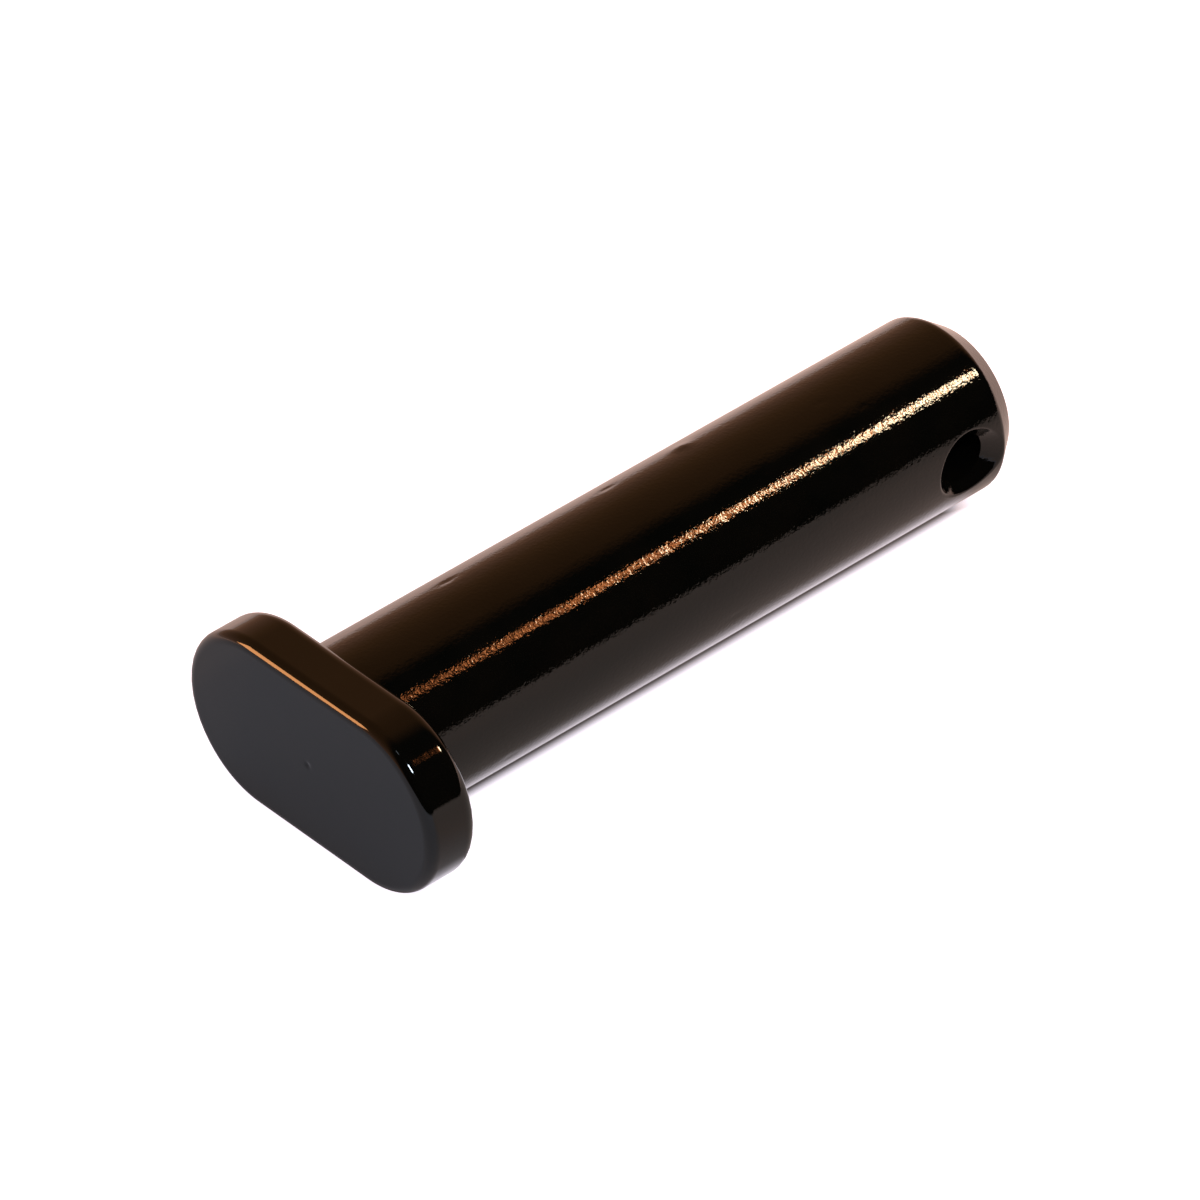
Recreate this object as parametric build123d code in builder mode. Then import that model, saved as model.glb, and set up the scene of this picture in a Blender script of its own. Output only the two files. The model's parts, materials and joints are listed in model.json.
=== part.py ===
"""A clevis pin with an oblong head, made of one piece of steel.

The shank is a plain cylinder with a chamfered tip and a countersunk cross
hole for a cotter. The head is a flat oblong bar section: two half rounds
joined by two flats. The flats stand just proud of the shank, so the pin can
lie on one of them and does not roll.

Frame: millimetres, +Z up. The origin is on the shank axis in the plane under
the head, where the pin seats. The shank runs along +X, the head lies across
it along Y, and the cross hole also runs along Y.
"""
import os

from build123d import *

# ---- shank -----------------------------------------------------------------
shank_diameter = 10.0
shank_length = 41.5            # from the seat under the head to the tip
tip_chamfer_length = 1.3       # along the axis
tip_chamfer_depth = 1.0        # off the radius

# ---- head ------------------------------------------------------------------
head_length = 18.7             # across the round ends
head_width = 10.3              # across the flats
head_thickness = 3.2
head_front_round = 0.55        # edge round of the outer face
head_rear_round = 0.5          # edge round of the seat side

# ---- cross hole ------------------------------------------------------------
cross_hole_diameter = 2.8
cross_hole_setback = 3.6       # from the tip to the hole's axis
countersink_diameter = 4.5     # measured at the height of the shank's side
countersink_angle = 90.0       # full angle of the cone

os.makedirs("parts", exist_ok=True)

shank_radius = shank_diameter / 2
cross_hole_station = shank_length - cross_hole_setback

with BuildPart() as clevis_pin:
    # The oblong head, sketched in the seat plane and drawn away from the
    # shank. Its long side lies along Y.
    with BuildSketch(Plane.YZ) as head_outline:
        SlotOverall(head_length, head_width)
    extrude(amount=-head_thickness)

    # The edge round the outer face is the softer one of the two.
    outer_face = clevis_pin.faces().sort_by(Axis.X)[0]
    fillet(outer_face.edges(), radius=head_front_round)
    seat_face = clevis_pin.faces().sort_by(Axis.X)[-1]
    fillet(seat_face.edges(), radius=head_rear_round)

    # The shank starts inside the head, because the rounded seat edge falls
    # away from under it at the flats.
    with BuildSketch(Plane.YZ.offset(-head_rear_round)) as shank_section:
        Circle(shank_radius)
    extrude(amount=shank_length + head_rear_round)

    tip_face = clevis_pin.faces().sort_by(Axis.X)[-1]
    tip_edge = tip_face.edges().filter_by(GeomType.CIRCLE)
    chamfer(tip_edge, length=tip_chamfer_depth, length2=tip_chamfer_length, reference=tip_face)

    # One through hole, countersunk where it comes out on either side.
    side_plane = Plane(
        origin=(cross_hole_station, -shank_radius, 0),
        x_dir=(1, 0, 0),
        z_dir=(0, -1, 0),
    )
    far_side_plane = Plane(
        origin=(cross_hole_station, shank_radius, 0),
        x_dir=(1, 0, 0),
        z_dir=(0, 1, 0),
    )
    with Locations(side_plane, far_side_plane):
        CounterSinkHole(
            radius=cross_hole_diameter / 2,
            counter_sink_radius=countersink_diameter / 2,
            depth=shank_diameter,
            counter_sink_angle=countersink_angle,
        )

clevis_pin.part.label = "clevis_pin"
export_step(clevis_pin.part, "parts/clevis_pin.step")
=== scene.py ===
# %% [markdown]
# A clevis pin holds two ears and the lug between them together. This one has a
# plain round shank, a flat oblong head, a chamfered tip and a countersunk cross
# hole for a split pin, all one piece of steel under a thin gloss black coat.
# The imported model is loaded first, because every size comes from it.

# %% Load the frame
import json
import math

import bmesh
import bpy
import numpy as np
from mathutils import Matrix, Vector


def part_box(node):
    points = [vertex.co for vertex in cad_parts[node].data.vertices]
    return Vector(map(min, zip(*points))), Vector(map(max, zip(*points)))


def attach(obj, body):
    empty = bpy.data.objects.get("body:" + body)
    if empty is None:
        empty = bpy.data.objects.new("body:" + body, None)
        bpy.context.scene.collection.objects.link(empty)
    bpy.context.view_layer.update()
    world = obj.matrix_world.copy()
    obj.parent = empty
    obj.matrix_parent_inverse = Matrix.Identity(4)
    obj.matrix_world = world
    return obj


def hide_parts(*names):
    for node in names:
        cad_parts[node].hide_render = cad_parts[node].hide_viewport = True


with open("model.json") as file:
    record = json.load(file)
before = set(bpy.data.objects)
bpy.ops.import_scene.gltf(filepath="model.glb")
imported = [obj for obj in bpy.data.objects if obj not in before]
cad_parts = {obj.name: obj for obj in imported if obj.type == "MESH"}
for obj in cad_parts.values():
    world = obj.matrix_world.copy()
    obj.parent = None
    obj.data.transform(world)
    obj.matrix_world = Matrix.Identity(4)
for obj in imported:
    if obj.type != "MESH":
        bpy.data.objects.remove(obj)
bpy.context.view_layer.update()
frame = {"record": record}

# %% [markdown]
# The sizes of the pin are read from the model's box and from its mounts. What
# the box does not say, such as the edge rounds, is written here in millimetres
# as a machinist would note it on the drawing.

# %% Sizes of the pin
MM = 0.001
low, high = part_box("clevis_pin")
mounts = {m["name"]: m for m in frame["record"]["mounts"]}
shank_radius = mounts["shank"]["dims"]["r_mm"]
bore_radius = mounts["cross_hole"]["dims"]["r_mm"]
hole_station = mounts["cross_hole"]["pos_m"][0] / MM
tip_station = high[0] / MM
head_thickness = -low[0] / MM
head_half_length = high[1] / MM
head_half_width = high[2] / MM
front_round = 0.6
rear_round = 0.85
chamfer_length = 1.3
chamfer_depth = 1.0
chamfer_station = tip_station - chamfer_length
countersink_radius = 2.25      # where the cone meets the line of the shank's side
tip_edge_round = 0.15
chamfer_soft = 0.10            # height difference over which the chamfer's start is rounded
mouth_soft = 0.12              # the same for the crest of the hole's mouth
print("shank radius", shank_radius, "tip", round(tip_station, 3), "head", round(head_thickness, 3))

# %% [markdown]
# A machined part never has a perfectly sharp edge: tumbling before the coat
# goes on, and the coat itself, leave a thin round that catches the light. Where
# two surfaces meet, the lower of the two heights is taken and the corner is
# rounded over a small height difference. The chamfer at the tip is such a
# meeting of a cylinder and a cone.

# %% Soft corners and the shank's profile
def soft_min(first, second, width):
    """The lower of two heights; within `width` of equal, a parabola rounds the corner."""
    overlap = np.maximum(width - np.abs(first - second), 0.0)
    return np.minimum(first, second) - overlap * overlap / (4.0 * width)


def shank_radius_at(x):
    """Radius of the shank at x: the cylinder, cut by the cone of the tip chamfer."""
    cone = shank_radius - (x - chamfer_station) * chamfer_depth / chamfer_length
    return soft_min(shank_radius + 0.0 * x, cone, chamfer_soft)


def spread(start, end, count, guard):
    """Numbers from start to end, evenly spread, with one more close to either end."""
    side = math.copysign(guard, end - start)
    inner = np.linspace(start + side, end - side, count)
    return np.concatenate([[start], inner, [end]])


print("radius at the chamfer:", np.round(shank_radius_at(np.array([chamfer_station, tip_station])), 3))

# %% [markdown]
# All surfaces of the pin share one set of columns that run from the middle of
# the head's face to the middle of the tip. A column starts at an angle round
# the shank. In the head it goes out from the nearest point of the head's spine,
# the line between the centres of its two round ends, so the columns fan out
# over the oblong and close in again on the round shank.

# %% Columns round the pin
COLUMNS = 240
angle = np.arange(COLUMNS) * 2.0 * np.pi / COLUMNS
ring = np.stack([np.cos(angle), np.sin(angle)], axis=-1)
spine_half = head_half_length - head_half_width
foot = np.zeros_like(ring)
foot[:, 0] = np.clip(shank_radius * ring[:, 0], -spine_half, spine_half)
shank_reach = np.linalg.norm(shank_radius * ring - foot, axis=-1)
outward = (shank_radius * ring - foot) / shank_reach[:, None]


def head_row(x, reach):
    """A row of the head: from the spine's foot, `reach` outward, at height x."""
    x = x + np.zeros(COLUMNS)
    flat = foot + outward * (reach + np.zeros(COLUMNS))[:, None]
    return np.concatenate([x[:, None], flat], axis=-1)


def shank_row(x, radius):
    """A ring of the shank at x with the given radius."""
    x = x + np.zeros(COLUMNS)
    flat = ring * (radius + np.zeros(COLUMNS))[:, None]
    return np.concatenate([x[:, None], flat], axis=-1)


print("columns:", COLUMNS, "spine half length:", round(spine_half, 3))

# %% [markdown]
# The head is a slice of flat bar with two half round ends. Its face is flat,
# both edges are rounded over, and the seat is what is left of the back outside
# the shank. At the flats the shank is wider than the seat, so there it comes
# out of the rounded edge itself. A small mark in the middle of the face is left
# by the lathe's centre, and close rows there give it its shape.

# %% The head
ROUND_ROWS = 15
grid_rows = []
rim = head_row(-head_thickness, head_half_width - front_round)
mark_radius = 0.16
mark_depth = 0.05
face_shares = np.concatenate([np.linspace(0.0, 0.09, 8), 1.0 - spread(0.9, 0.0, 18, 0.006)[1:]])
for share in face_shares:
    row = rim.copy()
    row[:, 1:] *= share
    from_centre = np.hypot(row[:, 1], row[:, 2])
    row[:, 0] += mark_depth * np.exp(-(from_centre / mark_radius) ** 2)
    grid_rows.append(row)
for turn in np.linspace(0.0, np.pi / 2, ROUND_ROWS)[1:]:
    inset = front_round * (1.0 - np.sin(turn))
    height = -head_thickness + front_round * (1.0 - np.cos(turn))
    grid_rows.append(head_row(height, head_half_width - inset))
for height in spread(-head_thickness + front_round, -rear_round, 10, 0.03)[1:]:
    grid_rows.append(head_row(height, head_half_width))
room = np.clip(head_half_width - shank_reach, 0.0, rear_round)
last_turn = np.arcsin(1.0 - room / rear_round)
for share in np.linspace(0.0, 1.0, ROUND_ROWS)[1:]:
    turn = np.pi / 2 + (last_turn - np.pi / 2) * share
    inset = rear_round * (1.0 - np.sin(turn))
    height = -rear_round * (1.0 - np.cos(turn))
    grid_rows.append(head_row(height, head_half_width - inset))
seat_reach = np.maximum(head_half_width - rear_round, shank_reach)
shank_start = -rear_round * (1.0 - np.cos(last_turn))
for share in spread(0.0, 1.0, 8, 0.02)[1:]:
    reach = seat_reach + (shank_reach - seat_reach) * share
    grid_rows.append(head_row(shank_start, reach))
print("rows of the head:", len(grid_rows))

# %% [markdown]
# A pin that has been handled in a box with others has a few small dents. Each
# is a shallow bowl in the shank: its depth falls off as a bell curve along the
# shank and round it. They are real hollows in the surface, because a hollow
# breaks a reflection in a way that a painted mark does not. The first one has a
# depth below zero: it is a burr that stands up.
#
# The stations and angles of the first eleven rows were worked out by a separate
# program and typed in here. The last four rows, and every size and depth, were chosen.

# %% Dents
# station mm, angle round the shank in degrees, half length mm, half width mm, depth mm
DENTS = np.array([
    [24.0, 66.2, 0.40, 0.30, -0.070],
    [18.9, 65.5, 0.35, 0.12, 0.045],
    [7.8, 68.8, 0.40, 0.14, 0.045],
    [31.4, 96.3, 0.28, 0.12, 0.020],
    [33.0, 112.8, 0.16, 0.12, 0.016],
    [25.9, 117.5, 0.24, 0.14, 0.020],
    [23.3, 141.2, 0.20, 0.12, 0.016],
    [21.3, 191.2, 0.40, 0.10, 0.018],
    [6.1, 202.4, 0.30, 0.12, 0.016],
    [18.4, 128.3, 0.10, 0.14, 0.012],
    [22.3, 128.9, 0.10, 0.12, 0.011],
    [12.6, 152.0, 0.20, 0.10, 0.014],
    [30.0, 171.0, 0.26, 0.10, 0.012],
    [28.5, 30.0, 0.18, 0.12, 0.014],
    [14.2, 250.0, 0.22, 0.12, 0.016],
])


def dent_depth(x, turn):
    """Sum over the dents of depth times a bell curve in distance along and round."""
    along = (x[..., None] - DENTS[:, 0]) / DENTS[:, 2]
    round_ = np.angle(np.exp(1j * (turn[..., None] - np.radians(DENTS[:, 1]))))
    across = round_ * shank_radius / DENTS[:, 3]
    return np.sum(DENTS[:, 4] * np.exp(-0.5 * (along ** 2 + across ** 2)), axis=-1)


print("dents:", len(DENTS), "deepest, mm:", DENTS[:, 4].max())

# %% [markdown]
# The shank is a ring carried along its axis, and its radius is less where there
# is a dent. It stops short of the cross hole, where a patch takes over.

# %% The shank up to the hole
patch_reach = 3.1              # how far the hole's patch reaches towards the head, mm
patch_past_chamfer = 0.15      # and how far past the start of the chamfer
patch_start = hole_station - patch_reach
patch_end = chamfer_station + patch_past_chamfer
for share in spread(0.0, 1.0, 190, 0.0008)[1:]:
    x = shank_start + (patch_start - shank_start) * share
    row = shank_row(x, shank_radius - dent_depth(x, angle))
    grid_rows.append(row)
grid_rows[-1] = shank_row(patch_start, shank_radius)
head_and_shank = np.stack(grid_rows)
print("head and shank grid:", head_and_shank.shape)

# %% [markdown]
# Past the hole the ring goes on down the cone of the chamfer, round the tip's
# edge and in over the flat end. The edge is an arc that touches both the cone
# and the flat, so it starts a little before their corner and ends a little
# inside it.

# %% The tip
slope = math.atan2(-chamfer_depth, chamfer_length)
turning = slope + np.pi / 2
setback = tip_edge_round * math.tan(turning / 2)
cone_end_x = tip_station - setback * math.cos(slope)
cone_end_r = shank_radius - chamfer_depth - setback * math.sin(slope)
edge_centre_x = tip_station - tip_edge_round
edge_centre_r = cone_end_r - tip_edge_round * math.cos(slope)
tip_rows = [shank_row(x, shank_radius_at(np.array([x]))) for x in spread(patch_end, cone_end_x, 8, 0.03)]
for heading in np.linspace(slope, -np.pi / 2, 9)[1:]:
    x = edge_centre_x - tip_edge_round * math.sin(heading)
    radius = edge_centre_r + tip_edge_round * math.cos(heading)
    tip_rows.append(shank_row(x, radius))
flat_radius = edge_centre_r
for share in spread(1.0, 0.0, 10, 0.01)[1:]:
    tip_rows.append(shank_row(tip_station, flat_radius * share))
tip = np.stack(tip_rows)
print("tip grid:", tip.shape)

# %% [markdown]
# The cross hole is drilled square to the shank and countersunk with a 90 degree
# tool. Seen along the hole, the surface is a height over a plane: it is the
# shank's cylinder outside the mouth and the tool's cone inside it, and the
# lower of the two wins. The patch is laid out in rays from the hole's axis to a
# rectangle cut out of the shank's grid, with close rows at the mouth's crest.

# %% The cross hole
BAND_ROWS = 28
PATCH_HALF = 24
crest_band = 0.16              # close rows this far on either side of the mouth's crest, mm
band_x = np.linspace(patch_start, patch_end, BAND_ROWS + 1)
cone_base = shank_radius - countersink_radius


def patch_rays(side):
    """Outer ends of the rays: once round the rectangle, as station and angle."""
    middle = 0 if side > 0 else COLUMNS // 2
    steps = np.arange(-PATCH_HALF, PATCH_HALF + 1) + middle
    turns = steps * 2.0 * np.pi / COLUMNS
    x = np.concatenate([
        np.full(2 * PATCH_HALF, patch_start),
        band_x[:-1],
        np.full(2 * PATCH_HALF, patch_end),
        band_x[:0:-1],
    ])
    turn = np.concatenate([
        turns[:-1],
        np.full(BAND_ROWS, turns[-1]),
        turns[:0:-1],
        np.full(BAND_ROWS, turns[0]),
    ])
    return x, turn


def hole_patch(side):
    """Rays from the bore to the rectangle; the height is the lower of cylinder and cone."""
    end_x, end_turn = patch_rays(side)
    end_z = shank_radius_at(end_x) * np.sin(end_turn)
    bearing = np.arctan2(end_z, end_x - hole_station)
    end_r = np.hypot(end_z, end_x - hole_station)
    # The crest is where cylinder and cone are level, a quadratic in the radius.
    a = 1.0 + np.sin(bearing) ** 2
    b = 2.0 * cone_base
    c = cone_base ** 2 - shank_radius ** 2
    crest = (-b + np.sqrt(b * b - 4.0 * a * c)) / (2.0 * a)
    near = crest_band
    inner = bore_radius + (crest - near - bore_radius) * spread(0.0, 1.0, 8, 0.03)[:, None]
    middle = crest + near * np.linspace(-1.0, 1.0, 17)[1:, None]
    outer = crest + near + (end_r - crest - near) * np.linspace(0.0, 1.0, 13)[1:, None] ** 1.3
    radius = np.concatenate([inner, middle, outer])
    x = hole_station + radius * np.cos(bearing)
    z = radius * np.sin(bearing)
    cylinder = np.sqrt(shank_radius_at(x) ** 2 - z ** 2)
    y = soft_min(cylinder, cone_base + radius, mouth_soft)
    return np.stack([x, side * y, z], axis=-1), bearing


near_patch = hole_patch(-1)[0]
far_patch, far_bearing = hole_patch(1)
bore_reach = soft_min(shank_radius, cone_base + bore_radius, mouth_soft)
bore_y = spread(bore_reach, -bore_reach, 12, 0.03)[:, None]
bore = np.stack([
    hole_station + bore_radius * np.cos(far_bearing) + 0.0 * bore_y,
    bore_y + 0.0 * far_bearing,
    bore_radius * np.sin(far_bearing) + 0.0 * bore_y,
], axis=-1)
print("hole patches:", near_patch.shape, far_patch.shape, "bore:", bore.shape)


def band(first, last):
    """The part of the shank between the two hole patches, as a strip of columns."""
    steps = np.arange(first, last + 1)
    turn = steps * 2.0 * np.pi / COLUMNS
    radius = shank_radius_at(band_x)[:, None]
    x = band_x[:, None] + 0.0 * turn
    return np.stack([x, radius * np.cos(turn), radius * np.sin(turn)], axis=-1)


upper_band = band(PATCH_HALF, COLUMNS // 2 - PATCH_HALF)
lower_band = band(COLUMNS // 2 + PATCH_HALF, COLUMNS - PATCH_HALF)
print("bands:", upper_band.shape, lower_band.shape)

# %% [markdown]
# Each surface is a grid of points, and each cell of a grid is one face. The
# grids meet point on point, so merging doubles closes the seams and turns the
# middle of the face and of the tip into true poles. The count of open edges
# says whether it is closed. The shading stays smooth over the soft edges and
# breaks only at true corners, such as the one between cone and bore.

# %% Join the grids into one closed mesh
def grid_faces(rows, columns, closed, first):
    """Four-sided cells of a grid; a closed one joins its last column to its first."""
    index = first + np.arange(rows * columns).reshape(rows, columns)
    if closed:
        index = np.concatenate([index, index[:, :1]], axis=1)
    cells = [index[:-1, :-1], index[:-1, 1:], index[1:, 1:], index[1:, :-1]]
    return np.stack(cells, axis=-1).reshape(-1, 4)


pieces = [
    (head_and_shank, True),
    (tip, True),
    (near_patch, True),
    (far_patch, True),
    (bore, True),
    (upper_band, False),
    (lower_band, False),
]
points = []
faces = []
count = 0
for grid, closed in pieces:
    points.append(grid.reshape(-1, 3))
    faces.append(grid_faces(grid.shape[0], grid.shape[1], closed, count))
    count += grid.shape[0] * grid.shape[1]
points = np.concatenate(points) * MM
faces = np.concatenate(faces)
mesh = bpy.data.meshes.new("coated_pin")
mesh.from_pydata(points.tolist(), [], faces.tolist())

merge_gap = 0.002 * MM
least_edge = 0.0005 * MM
sharp_corner = math.radians(32.0)
shaper = bmesh.new()
shaper.from_mesh(mesh)
bmesh.ops.remove_doubles(shaper, verts=shaper.verts, dist=merge_gap)
bmesh.ops.dissolve_degenerate(shaper, edges=shaper.edges, dist=least_edge)
bmesh.ops.recalc_face_normals(shaper, faces=shaper.faces)
open_edges = sum(1 for edge in shaper.edges if len(edge.link_faces) != 2)
if shaper.calc_volume(signed=True) < 0.0:
    bmesh.ops.reverse_faces(shaper, faces=shaper.faces)
volume = shaper.calc_volume(signed=True) / MM ** 3
triangles = sum(len(face.verts) - 2 for face in shaper.faces)
shaper.to_mesh(mesh)
shaper.free()
mesh.polygons.foreach_set("use_smooth", np.ones(len(mesh.polygons), dtype=bool))
mesh.set_sharp_from_angle(angle=sharp_corner)
coated_pin = bpy.data.objects.new("coated_pin", mesh)
bpy.context.scene.collection.objects.link(coated_pin)
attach(coated_pin, "root")
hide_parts("clevis_pin")
print("pin: open edges", open_edges, "triangles", triangles, "volume mm3", round(volume, 1))

# %% [markdown]
# Materials are node graphs. One helper adds a node, sets its values and joins
# its inputs, and one function turns a colour as it is written on a paint card
# into the linear numbers that the shader works with.

# %% Helpers for materials
def linear(code):
    """sRGB hex to linear: below 0.04045 a straight line, above it a power of 2.4."""
    values = [int(code[i:i + 2], 16) / 255.0 for i in (1, 3, 5)]
    out = [v / 12.92 if v <= 0.04045 else ((v + 0.055) / 1.055) ** 2.4 for v in values]
    return (*out, 1.0)


def add_node(tree, kind, inputs=None, **settings):
    """Add a node; settings are its options, inputs are values or other sockets.

    Inputs are named or counted. Those of a Map Range are 0 the value, 1 and 2
    the range it comes from, 3 and 4 the range it goes to. Those of a colour Mix
    are 0 the share and 6 and 7 the two colours.
    """
    node = tree.nodes.new(kind)
    for key, value in settings.items():
        setattr(node, key, value)
    for key, value in (inputs or {}).items():
        if isinstance(value, bpy.types.NodeSocket):
            tree.links.new(value, node.inputs[key])
        else:
            node.inputs[key].default_value = value
    return node


def new_material(name):
    """An empty node material with its output node."""
    material = bpy.data.materials.new(name)
    material.use_nodes = True
    material.node_tree.nodes.clear()
    output = material.node_tree.nodes.new("ShaderNodeOutputMaterial")
    return material, material.node_tree, output


print("helpers ready")

# %% [markdown]
# The finish is a thin gloss black stove enamel over turned steel. The eye sees
# almost only its reflections: the coat is near black with a brown cast, and the
# fine turning grain of the steel under it still shows through on the shank and
# breaks the edge of every bright reflection into specks. The head is pressed,
# not turned, so it is smoother. Grain is a bump here, because it is far smaller
# than anything the outline shows. The real grain is about 0.1 mm. It is drawn
# at 0.2 mm, as coarse as it needs to be to show.

# %% Gloss black enamel over turned steel
grain_size = 0.20 * MM
grain_depth = 0.013 * MM
swell_size = 1.8 * MM          # the slow waviness that a sprayed coat dries with
swell_depth = 0.02 * MM
patch_size = 3.5 * MM          # patches where the coat is thinner and browner
enamel, tree, output = new_material("gloss_black_enamel_over_steel")
place = add_node(tree, "ShaderNodeTexCoord").outputs["Object"]
parts = add_node(tree, "ShaderNodeSeparateXYZ", {0: place})
on_shank = add_node(
    tree, "ShaderNodeMapRange",
    {0: parts.outputs["X"], 1: -0.2 * MM, 2: 0.3 * MM, 3: 0.10, 4: 1.0},
)
grain = add_node(
    tree, "ShaderNodeTexNoise",
    {"Vector": place, "Scale": 1.0 / grain_size, "Detail": 2.0, "Roughness": 0.55},
)
swell = add_node(
    tree, "ShaderNodeTexNoise",
    {"Vector": place, "Scale": 1.0 / swell_size, "Detail": 2.0, "Roughness": 0.5},
)
patches = add_node(
    tree, "ShaderNodeTexNoise",
    {"Vector": place, "Scale": 1.0 / patch_size, "Detail": 4.0, "Roughness": 0.6},
)
colour = add_node(tree, "ShaderNodeValToRGB", {0: patches.outputs["Fac"]})
colour.color_ramp.elements[0].position = 0.35
colour.color_ramp.elements[0].color = linear("#040403")
colour.color_ramp.elements[1].position = 0.70
colour.color_ramp.elements[1].color = linear("#080604")
rough = add_node(
    tree, "ShaderNodeMapRange",
    {0: patches.outputs["Fac"], 1: 0.3, 2: 0.7, 3: 0.035, 4: 0.07},
)
grain_strength = add_node(
    tree, "ShaderNodeMath", {0: on_shank.outputs[0], 1: 0.85}, operation="MULTIPLY"
)
fine_bump = add_node(
    tree, "ShaderNodeBump",
    {"Strength": grain_strength.outputs[0], "Distance": grain_depth, "Height": grain.outputs["Fac"]},
)
soft_bump = add_node(
    tree, "ShaderNodeBump",
    {"Strength": 0.25, "Distance": swell_depth, "Height": swell.outputs["Fac"],
     "Normal": fine_bump.outputs["Normal"]},
)
shader = add_node(
    tree, "ShaderNodeBsdfPrincipled",
    {"Base Color": colour.outputs["Color"], "Roughness": rough.outputs[0], "IOR": 1.5,
     "Normal": soft_bump.outputs["Normal"]},
)
tree.links.new(shader.outputs["BSDF"], output.inputs["Surface"])
mesh.materials.append(enamel)
print("finish:", enamel.name)

# %% [markdown]
# The pin lies on one flat of its head on a white sheet of paper, which takes its
# shadow. The sheet's colour is painted light and shade, set by place. A darker
# cool grey in front of the head's face is painted shade of the head. A darker
# brownish grey beside the pin is painted shade with warm light in it. A light warm
# tone towards the tip and the far side is painted warm light. A glow lies over it,
# except in the narrow gap under the shank, where leaving it out paints a dark line
# of shade. The camera's rays see it so strong that the sheet is white nearly all
# over and its soft shadow nearly gone. Mirror rays see a weak glow on the warm side
# and a strong one in a strip close beside the pin: painted light that shows only
# in reflections.

# %% The white floor, with painted light and shade
gap_edge = (2.0 * MM, 2.9 * MM)        # where the glow sets in, out from the middle of the pin
strip_fade = (3.2 * MM, 5.6 * MM)      # where the strip beside the shank fades out
strip_past_head = 4.2 * MM             # how much further out it lies at the head
# strip_glow and warm_glow are painted light on the paper that only mirror rays see.
strip_glow = 0.95
warm_glow = 0.30
camera_glow = 1.05
floor_size = 6.0
corner = floor_size / 2
floor_mesh = bpy.data.meshes.new("white_floor")
floor_z = low[2]
floor_corners = [
    (-corner, -corner, floor_z),
    (corner, -corner, floor_z),
    (corner, corner, floor_z),
    (-corner, corner, floor_z),
]
floor_mesh.from_pydata(floor_corners, [], [(0, 1, 2, 3)])
floor = bpy.data.objects.new("white_floor", floor_mesh)
bpy.context.scene.collection.objects.link(floor)
paper, tree, output = new_material("matt_white_paper")
place = add_node(tree, "ShaderNodeTexCoord").outputs["Object"]
parts = add_node(tree, "ShaderNodeSeparateXYZ", {0: place})

# Where the glow lies: everywhere but in the gap under the shank. Leaving it out
# there is painted shade: the floor's own shadow shows as a dark line along the shank.
beside = add_node(tree, "ShaderNodeMath", {0: parts.outputs["Y"]}, operation="ABSOLUTE")
open_side = add_node(
    tree, "ShaderNodeMapRange",
    {0: beside.outputs[0], 1: gap_edge[0], 2: gap_edge[1], 3: 0.0, 4: 1.0},
    interpolation_type="SMOOTHSTEP",
)
past_head = add_node(
    tree, "ShaderNodeMapRange", {0: parts.outputs["X"], 1: 0.0, 2: 1.0 * MM, 3: 1.0, 4: 0.0}
)
past_tip = add_node(
    tree, "ShaderNodeMapRange",
    {0: parts.outputs["X"], 1: high[0] - 3.0 * MM, 2: high[0] - 1.0 * MM, 3: 0.0, 4: 1.0},
)
ends = add_node(
    tree, "ShaderNodeMath", {0: past_head.outputs[0], 1: past_tip.outputs[0]}, operation="MAXIMUM"
)
open_paper = add_node(
    tree, "ShaderNodeMath", {0: ends.outputs[0], 1: open_side.outputs[0]}, operation="MAXIMUM"
)

# The strip beside the pin that only mirror rays see: painted light, a bright
# reflection of the floor close beside the pin.
at_head = add_node(
    tree, "ShaderNodeMapRange",
    {0: parts.outputs["X"], 1: 1.2 * MM, 2: 2.2 * MM, 3: strip_past_head, 4: 0.0},
)
from_side = add_node(
    tree, "ShaderNodeMath", {0: beside.outputs[0], 1: at_head.outputs[0]}, operation="SUBTRACT"
)
near_side = add_node(
    tree, "ShaderNodeMapRange",
    {0: from_side.outputs[0], 1: strip_fade[0], 2: strip_fade[1], 3: strip_glow, 4: 0.0},
    interpolation_type="SMOOTHSTEP",
)
behind_face = add_node(
    tree, "ShaderNodeMapRange", {0: parts.outputs["X"], 1: -2.6 * MM, 2: -1.6 * MM, 3: 0.0, 4: 1.0}
)
beside_pin = add_node(
    tree, "ShaderNodeMath", {0: behind_face.outputs[0], 1: past_tip.outputs[0]},
    operation="SUBTRACT", use_clamp=True,
)
near_pin = add_node(
    tree, "ShaderNodeMath", {0: near_side.outputs[0], 1: beside_pin.outputs[0]},
    operation="MULTIPLY",
)

# The painted light and shade in the paper's colour: `away` grows towards the tip
# and towards the far side, where the paper is painted light and warm.
away = add_node(
    tree, "ShaderNodeVectorMath", {0: place, 1: (0.52, 0.60, 0.0)}, operation="DOT_PRODUCT"
)
painted_warm_light = add_node(
    tree, "ShaderNodeMapRange",
    {0: away.outputs["Value"], 1: 2.0 * MM, 2: 45.0 * MM, 3: 0.0, 4: 1.0},
)
beyond_head = add_node(
    tree, "ShaderNodeMapRange", {0: parts.outputs["X"], 1: -5.0 * MM, 2: 4.0 * MM, 3: 0.0, 4: 1.0}
)
# Painted shade: cool grey in front of the head's face, brownish grey beside the pin.
painted_shade_tint = add_node(
    tree, "ShaderNodeMix",
    {0: beyond_head.outputs[0], 6: linear("#b4b5be"), 7: linear("#bcaca4")}, data_type="RGBA",
)
# Painted warm light towards the tip and the far side.
painted_light_and_shade_tint = add_node(
    tree, "ShaderNodeMix",
    {0: painted_warm_light.outputs[0], 6: painted_shade_tint.outputs[2], 7: linear("#ffd2b8")}, data_type="RGBA",
)
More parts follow.
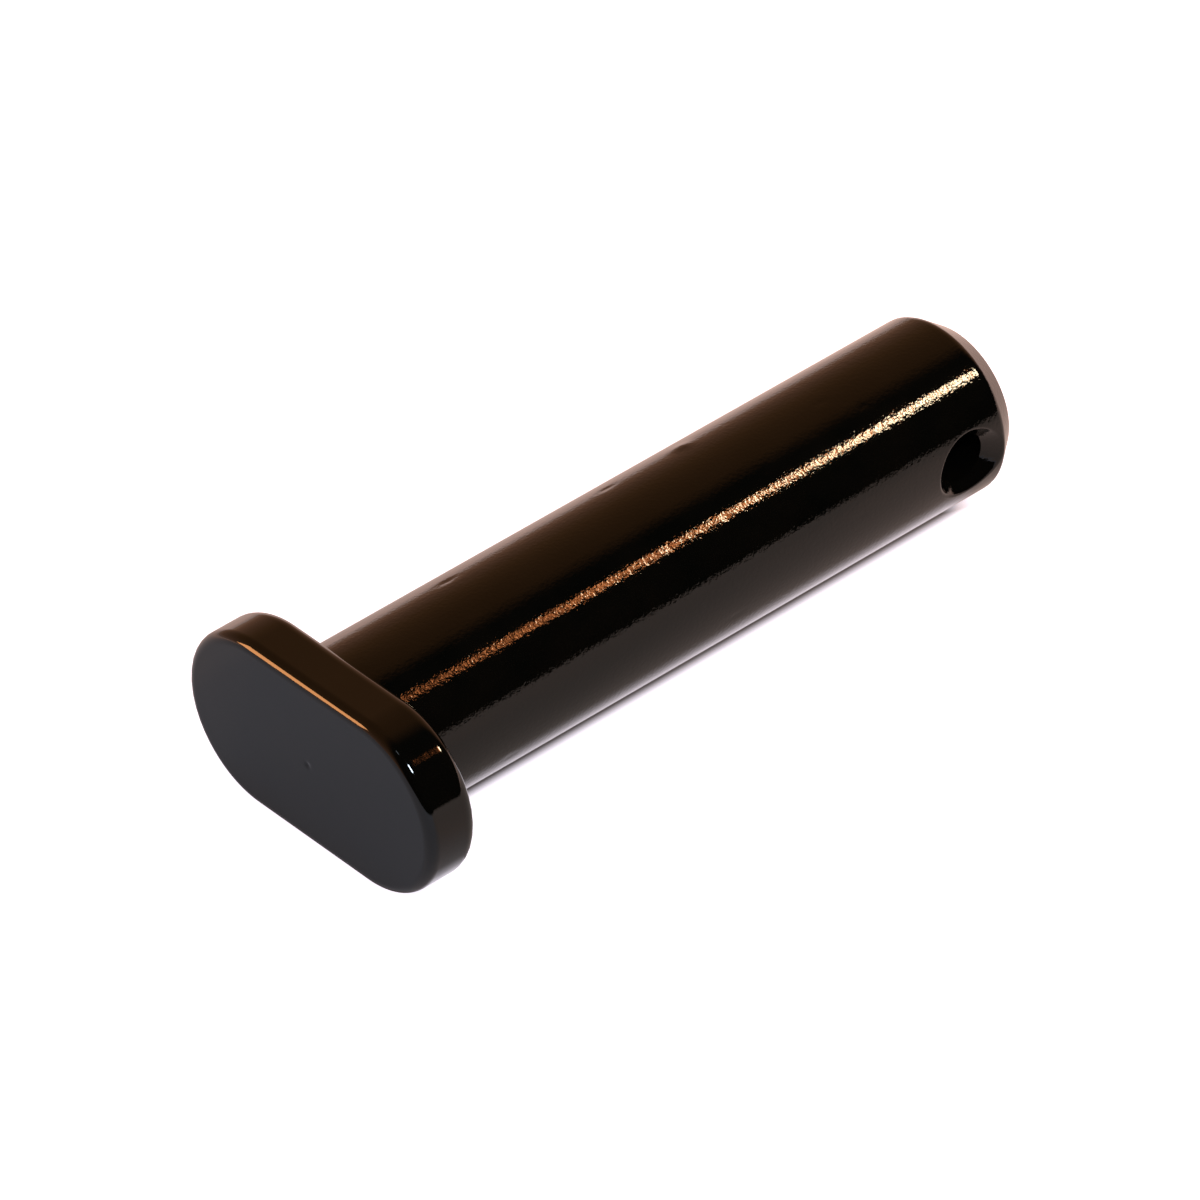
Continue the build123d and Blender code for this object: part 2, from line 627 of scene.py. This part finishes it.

# How strong the glow is to the camera's rays and to mirror rays. To mirror rays
# the lavender white glow is painted light: weak and warm towards the far side,
# strong in the strip beside the pin.
path = add_node(tree, "ShaderNodeLightPath")
clear = add_node(
    tree, "ShaderNodeMath",
    {0: path.outputs["Is Camera Ray"], 1: path.outputs["Is Transmission Ray"]}, operation="MAXIMUM",
)
camera_lift = add_node(
    tree, "ShaderNodeMath", {0: clear.outputs[0], 1: camera_glow}, operation="MULTIPLY"
)
mirrored = add_node(
    tree, "ShaderNodeMath",
    {0: painted_warm_light.outputs[0], 1: warm_glow, 2: near_pin.outputs[0]}, operation="MULTIPLY_ADD",
)
glossy_lift = add_node(
    tree, "ShaderNodeMath", {0: path.outputs["Is Glossy Ray"], 1: mirrored.outputs[0]},
    operation="MULTIPLY",
)
either = add_node(
    tree, "ShaderNodeMath", {0: camera_lift.outputs[0], 1: glossy_lift.outputs[0]}, operation="ADD"
)
lift = add_node(
    tree, "ShaderNodeMath", {0: either.outputs[0], 1: open_paper.outputs[0]}, operation="MULTIPLY"
)
matt = add_node(tree, "ShaderNodeBsdfDiffuse", {"Color": painted_light_and_shade_tint.outputs[2]})
glow = add_node(tree, "ShaderNodeEmission", {"Color": linear("#f8f1ff"), "Strength": lift.outputs[0]})
both = add_node(tree, "ShaderNodeAddShader", {0: matt.outputs[0], 1: glow.outputs[0]})
tree.links.new(both.outputs[0], output.inputs["Surface"])
floor_mesh.materials.append(paper)
print("floor at z, mm:", round(floor_z / MM, 3))

# %% [markdown]
# A gloss black thing shows its room. Here the room is a small studio: dark on
# the near side, with a brown wall on the far side that gets lighter towards the
# floor. That is a world seen by mirror rays only. The soft light on everything
# else is an even white world at a plain level, and the camera sees white.

# %% The room
world = bpy.data.worlds.new("small_studio")
bpy.context.scene.world = world
world.use_nodes = True
tree = world.node_tree
tree.nodes.clear()
direction = add_node(tree, "ShaderNodeTexCoord").outputs["Generated"]
parts = add_node(tree, "ShaderNodeSeparateXYZ", {0: direction})
height = add_node(tree, "ShaderNodeValToRGB", {0: parts.outputs["Z"]})
ramp = height.color_ramp
ramp.elements[0].position = 0.0
ramp.elements[0].color = (0.85, 0.48, 0.34, 1.0)
ramp.elements[1].position = 0.85
ramp.elements[1].color = (0.24, 0.10, 0.03, 1.0)
wall_stops = (
    (0.12, (0.60, 0.29, 0.17, 1.0)),
    (0.26, (0.48, 0.23, 0.13, 1.0)),
    (0.5, (0.36, 0.16, 0.06, 1.0)),
)
for position, value in wall_stops:
    stop = ramp.elements.new(position)
    stop.color = value
far_side = add_node(
    tree, "ShaderNodeMapRange",
    {0: parts.outputs["Y"], 1: -0.14, 2: 0.20, 3: 0.0, 4: 1.0}, interpolation_type="SMOOTHSTEP",
)
path = add_node(tree, "ShaderNodeLightPath")
plain = add_node(tree, "ShaderNodeBackground", {"Color": linear("#ffffff"), "Strength": 0.62})
white = add_node(tree, "ShaderNodeBackground", {"Color": linear("#ffffff"), "Strength": 1.0})
room = add_node(
    tree, "ShaderNodeBackground",
    {"Color": height.outputs["Color"], "Strength": far_side.outputs[0]},
)
seen = add_node(
    tree, "ShaderNodeMixShader",
    {0: path.outputs["Is Glossy Ray"], 1: plain.outputs[0], 2: room.outputs[0]},
)
sky = add_node(
    tree, "ShaderNodeMixShader",
    {0: path.outputs["Is Camera Ray"], 1: seen.outputs[0], 2: white.outputs[0]},
)
output = tree.nodes.new("ShaderNodeOutputWorld")
tree.links.new(sky.outputs[0], output.inputs["Surface"])
print("room ready")

# %% [markdown]
# The lamps are softboxes. The main one is a narrow strip in three lengths, beyond
# the tip and overhead on the near side, brighter and whiter towards its outer
# end, and it draws the bright line along the shank. A warm one stands low beyond
# the head on the far side and draws the line on the head's front edge. Two small
# cool windows above the near side, one bright and one dim, give it bluish spots.

# %% The lamps
def softbox(name, centre, aim, width, depth, radiance, colour):
    """A rectangle of light at `centre` that faces `aim`.

    Its power is its radiance times pi times its area.
    """
    data = bpy.data.lights.new(name, "AREA")
    data.shape = "RECTANGLE"
    data.size = width
    data.size_y = depth
    data.color = colour
    data.energy = radiance * math.pi * width * depth
    lamp = bpy.data.objects.new(name, data)
    back = (Vector(centre) - Vector(aim)).normalized()
    along = Vector((1.0, 0.0, 0.0))
    along = (along - back * along.dot(back)).normalized()
    turn = Matrix((along, back.cross(along), back)).transposed().to_4x4()
    lamp.matrix_world = Matrix.Translation(centre) @ turn
    bpy.context.scene.collection.objects.link(lamp)
    return lamp


strip_distance = 0.30
strip_width = 0.032
strip_rise = math.radians(56.6)
strip_y = -strip_distance * math.cos(strip_rise)
strip_z = strip_distance * math.sin(strip_rise)
# name, start and end along the pin in metres, radiance, colour
strip = [
    ("strip_dim", 0.170, 0.200, 6.0, (1.0, 0.30, 0.09)),
    ("strip_warm", 0.190, 0.224, 16.0, (1.0, 0.34, 0.11)),
    ("strip_bright", 0.219, 0.266, 52.0, (1.0, 0.80, 0.52)),
]
for name, start, end, radiance, colour in strip:
    softbox(
        name, ((start + end) / 2, strip_y, strip_z), ((start + end) / 2, 0.0, 0.0),
        end - start, strip_width, radiance, colour,
    )
head_end = (0.0, -0.007, 0.004)
softbox(
    "warm_side", (-0.23, 0.205, 0.085), (0.0, 0.0, 0.0),
    0.08, 0.12, 14.0, (1.0, 0.42, 0.15),
)
softbox(
    "cool_window", (-0.0126, -0.187, 0.244), head_end,
    0.048, 0.048, 60.0, (0.72, 0.86, 1.0),
)
softbox(
    "dim_window", (-0.087, -0.079, 0.283), head_end,
    0.024, 0.024, 2.5, (0.8, 0.9, 1.0),
)
print("lamps:", len(bpy.data.lights))

# %% [markdown]
# The camera looks down on the pin over the head's round end, from far away with
# a long lens, so that the shank keeps its full length in view.

# %% The camera
box_middle = Vector(((low[0] + high[0]) / 2, 0.0, 0.0))
aim = box_middle + Vector((-7.089, -4.993, 5.059)) * MM
camera_distance = 0.49138
camera_azimuth = math.radians(-131.231)
camera_rise = math.radians(38.123)
camera_roll = math.radians(-1.404)
back = Vector((
    math.cos(camera_rise) * math.cos(camera_azimuth),
    math.cos(camera_rise) * math.sin(camera_azimuth),
    math.sin(camera_rise),
))
level_right = Vector((0.0, 0.0, 1.0)).cross(back).normalized()
level_up = back.cross(level_right)
right = level_right * math.cos(camera_roll) + level_up * math.sin(camera_roll)
up = back.cross(right)
camera_data = bpy.data.cameras.new("camera")
camera_data.lens = 294.69
camera_data.sensor_width = 36.0
camera_data.clip_start = 0.01
camera_data.clip_end = 20.0
camera = bpy.data.objects.new("camera", camera_data)
camera_turn = Matrix((right, up, back)).transposed().to_4x4()
camera.matrix_world = Matrix.Translation(aim + back * camera_distance) @ camera_turn
bpy.context.scene.collection.objects.link(camera)
bpy.context.scene.camera = camera
bpy.context.scene.view_settings.view_transform = "Standard"
print("camera at", [round(value, 4) for value in camera.matrix_world.translation])
